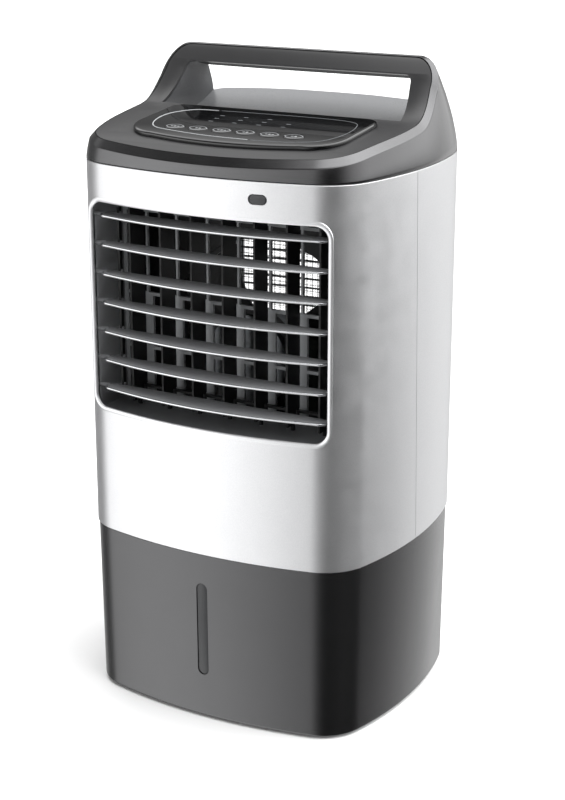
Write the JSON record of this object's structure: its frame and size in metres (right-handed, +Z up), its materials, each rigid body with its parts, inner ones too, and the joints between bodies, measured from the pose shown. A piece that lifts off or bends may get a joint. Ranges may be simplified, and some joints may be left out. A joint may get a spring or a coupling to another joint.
{
  "type": "evaporative air cooler",
  "caption": "Tall rounded evaporative air cooler: glossy tank below, satin silver body with a louvred outlet, dark top with a key panel and a carrying handle.",
  "frame": {"origin": "on the floor, under the middle of the body", "axes": "+Z up, -Y out of the air outlet at the front, +X to the right of someone facing the front"},
  "size_m": [0.2996, 0.2676, 0.5878],
  "materials": {
    "gloss_graphite": "gloss",
    "silver_paint": "satin metallic paint on plastic",
    "satin_black": "satin",
    "dark_grey": "satin",
    "smoked": "gloss, tinted",
    "rubber": "matte",
    "steel": "satin",
    "motor_grey": "satin",
    "net": "fine net",
    "curtain": "wet fibre net",
    "circuit": "circuit board",
    "clear_hose": "translucent hose"
  },
  "bodies": {
    "tank": {"water_tank": "gloss_graphite", "level_window": "smoked", "foot_1": "rubber", "foot_2": "rubber", "foot_3": "rubber", "foot_4": "rubber"},
    "drain_plug": {"drain_plug": "rubber"},
    "housing": {"base_tray": "satin_black", "pump": "satin_black", "pump_hose": "clear_hose", "level_sensor_stem": "satin_black", "front_shell": "silver_paint", "receiver_window": "smoked", "rear_shell": "silver_paint", "cord_gland": "satin_black", "shell_screw_1": "steel", "shell_screw_2": "steel", "shell_screw_3": "steel", "shell_screw_4": "steel", "spray_tray": "satin_black", "outlet_frame": "dark_grey", "swing_motor": "motor_grey", "outlet_guard": "dark_grey", "fan_shroud": "satin_black", "fan_motor": "motor_grey", "motor_bracket": "satin_black", "top_housing": "gloss_graphite", "deck_panel": "dark_grey", "control_panel": "gloss_graphite", "control_board": "circuit"},
    "float": {"level_float": "dark_grey"},
    "filter_cover": {"rear_filter_cover": "silver_paint", "curtain_frame": "dark_grey", "wet_curtain": "curtain", "filter_net": "net"},
    "fan": {"fan": "satin_black", "motor_shaft": "steel"},
    "louvre_1": {"louvre_1": "dark_grey"},
    "louvre_2": {"louvre_2": "dark_grey"},
    "louvre_3": {"louvre_3": "dark_grey"},
    "louvre_4": {"louvre_4": "dark_grey"},
    "louvre_5": {"louvre_5": "dark_grey"},
    "louvre_6": {"louvre_6": "dark_grey"},
    "louvre_7": {"louvre_7": "dark_grey"},
    "louvre_link": {"louvre_link": "satin_black"},
    "vane_1": {"vane_1": "satin_black"},
    "vane_2": {"vane_2": "satin_black"},
    "vane_3": {"vane_3": "satin_black"},
    "vane_4": {"vane_4": "satin_black"},
    "vane_5": {"vane_5": "satin_black"},
    "vane_6": {"vane_6": "satin_black"},
    "vane_7": {"vane_7": "satin_black"},
    "vane_link": {"vane_link": "satin_black"},
    "key_1": {"key_1": "dark_grey"},
    "key_2": {"key_2": "dark_grey"},
    "key_3": {"key_3": "dark_grey"},
    "key_4": {"key_4": "dark_grey"},
    "key_5": {"key_5": "dark_grey"},
    "key_6": {"key_6": "dark_grey"}
  },
  "joints": [
    {"name": "drain_pull", "type": "slide", "parent": "tank", "child": "drain_plug", "axis": [0, 1, 0], "range_m": [0, 0.02]},
    {"name": "body_lift", "type": "slide", "parent": "tank", "child": "housing", "axis": [0, 0, 1], "range_m": [0, 0.16]},
    {"name": "float_rise", "type": "slide", "parent": "housing", "child": "float", "axis": [0, 0, 1], "range_m": [0, 0.016]},
    {"name": "filter_pull", "type": "slide", "parent": "housing", "child": "filter_cover", "axis": [0, 1, 0], "range_m": [0, 0.06]},
    {"name": "fan_spin", "type": "hinge", "parent": "housing", "child": "fan", "pos_m": [0, 0.001, 0.322], "axis": [0, 1, 0], "continuous": true},
    {"name": "louvre_1_tilt", "type": "hinge", "parent": "housing", "child": "louvre_1", "pos_m": [0, -0.105, 0.4528], "axis": [1, 0, 0], "range_deg": [-25, 25]},
    {"name": "louvre_2_tilt", "type": "hinge", "parent": "housing", "child": "louvre_2", "pos_m": [0, -0.105, 0.4265], "axis": [1, 0, 0], "range_deg": [-25, 25]},
    {"name": "louvre_3_tilt", "type": "hinge", "parent": "housing", "child": "louvre_3", "pos_m": [0, -0.105, 0.4002], "axis": [1, 0, 0], "range_deg": [-25, 25]},
    {"name": "louvre_4_tilt", "type": "hinge", "parent": "housing", "child": "louvre_4", "pos_m": [0, -0.105, 0.3739], "axis": [1, 0, 0], "range_deg": [-25, 25]},
    {"name": "louvre_5_tilt", "type": "hinge", "parent": "housing", "child": "louvre_5", "pos_m": [0, -0.105, 0.3476], "axis": [1, 0, 0], "range_deg": [-25, 25]},
    {"name": "louvre_6_tilt", "type": "hinge", "parent": "housing", "child": "louvre_6", "pos_m": [0, -0.105, 0.3213], "axis": [1, 0, 0], "range_deg": [-25, 25]},
    {"name": "louvre_7_tilt", "type": "hinge", "parent": "housing", "child": "louvre_7", "pos_m": [0, -0.105, 0.295], "axis": [1, 0, 0], "range_deg": [-25, 25]},
    {"name": "louvre_link_swing", "type": "hinge", "parent": "louvre_1", "child": "louvre_link", "pos_m": [-0.104, -0.0945, 0.4528], "axis": [1, 0, 0], "range_deg": [-25, 25]},
    {"name": "vane_1_swing", "type": "hinge", "parent": "housing", "child": "vane_1", "pos_m": [-0.096, -0.08, 0.372], "axis": [0, 0, 1], "range_deg": [-35, 35]},
    {"name": "vane_2_swing", "type": "hinge", "parent": "housing", "child": "vane_2", "pos_m": [-0.064, -0.08, 0.372], "axis": [0, 0, 1], "range_deg": [-35, 35]},
    {"name": "vane_3_swing", "type": "hinge", "parent": "housing", "child": "vane_3", "pos_m": [-0.032, -0.08, 0.372], "axis": [0, 0, 1], "range_deg": [-35, 35]},
    {"name": "vane_4_swing", "type": "hinge", "parent": "housing", "child": "vane_4", "pos_m": [0, -0.08, 0.372], "axis": [0, 0, 1], "range_deg": [-35, 35]},
    {"name": "vane_5_swing", "type": "hinge", "parent": "housing", "child": "vane_5", "pos_m": [0.032, -0.08, 0.372], "axis": [0, 0, 1], "range_deg": [-35, 35]},
    {"name": "vane_6_swing", "type": "hinge", "parent": "housing", "child": "vane_6", "pos_m": [0.064, -0.08, 0.372], "axis": [0, 0, 1], "range_deg": [-35, 35]},
    {"name": "vane_7_swing", "type": "hinge", "parent": "housing", "child": "vane_7", "pos_m": [0.096, -0.08, 0.372], "axis": [0, 0, 1], "range_deg": [-35, 35]},
    {"name": "vane_link_swing", "type": "hinge", "parent": "vane_4", "child": "vane_link", "pos_m": [0, -0.071, 0.2885], "axis": [0, 0, 1], "range_deg": [-35, 35]},
    {"name": "key_1_press", "type": "slide", "parent": "housing", "child": "key_1", "axis": [0, 0.1485, -0.9889], "range_m": [0, 0.0008], "stiffness_N_per_m": 300, "springref_m": -0.0005},
    {"name": "key_2_press", "type": "slide", "parent": "housing", "child": "key_2", "axis": [0, 0.1485, -0.9889], "range_m": [0, 0.0008], "stiffness_N_per_m": 300, "springref_m": -0.0005},
    {"name": "key_3_press", "type": "slide", "parent": "housing", "child": "key_3", "axis": [0, 0.1485, -0.9889], "range_m": [0, 0.0008], "stiffness_N_per_m": 300, "springref_m": -0.0005},
    {"name": "key_4_press", "type": "slide", "parent": "housing", "child": "key_4", "axis": [0, 0.1485, -0.9889], "range_m": [0, 0.0008], "stiffness_N_per_m": 300, "springref_m": -0.0005},
    {"name": "key_5_press", "type": "slide", "parent": "housing", "child": "key_5", "axis": [0, 0.1485, -0.9889], "range_m": [0, 0.0008], "stiffness_N_per_m": 300, "springref_m": -0.0005},
    {"name": "key_6_press", "type": "slide", "parent": "housing", "child": "key_6", "axis": [0, 0.1485, -0.9889], "range_m": [0, 0.0008], "stiffness_N_per_m": 300, "springref_m": -0.0005}
  ],
  "couplings": [
    {"joint": "louvre_2_tilt", "follows": "louvre_1_tilt", "ratio": 1},
    {"joint": "louvre_3_tilt", "follows": "louvre_1_tilt", "ratio": 1},
    {"joint": "louvre_4_tilt", "follows": "louvre_1_tilt", "ratio": 1},
    {"joint": "louvre_5_tilt", "follows": "louvre_1_tilt", "ratio": 1},
    {"joint": "louvre_6_tilt", "follows": "louvre_1_tilt", "ratio": 1},
    {"joint": "louvre_7_tilt", "follows": "louvre_1_tilt", "ratio": 1},
    {"joint": "louvre_link_swing", "follows": "louvre_1_tilt", "ratio": -1},
    {"joint": "vane_1_swing", "follows": "vane_4_swing", "ratio": 1},
    {"joint": "vane_2_swing", "follows": "vane_4_swing", "ratio": 1},
    {"joint": "vane_3_swing", "follows": "vane_4_swing", "ratio": 1},
    {"joint": "vane_5_swing", "follows": "vane_4_swing", "ratio": 1},
    {"joint": "vane_6_swing", "follows": "vane_4_swing", "ratio": 1},
    {"joint": "vane_7_swing", "follows": "vane_4_swing", "ratio": 1},
    {"joint": "vane_link_swing", "follows": "vane_4_swing", "ratio": -1}
  ]
}
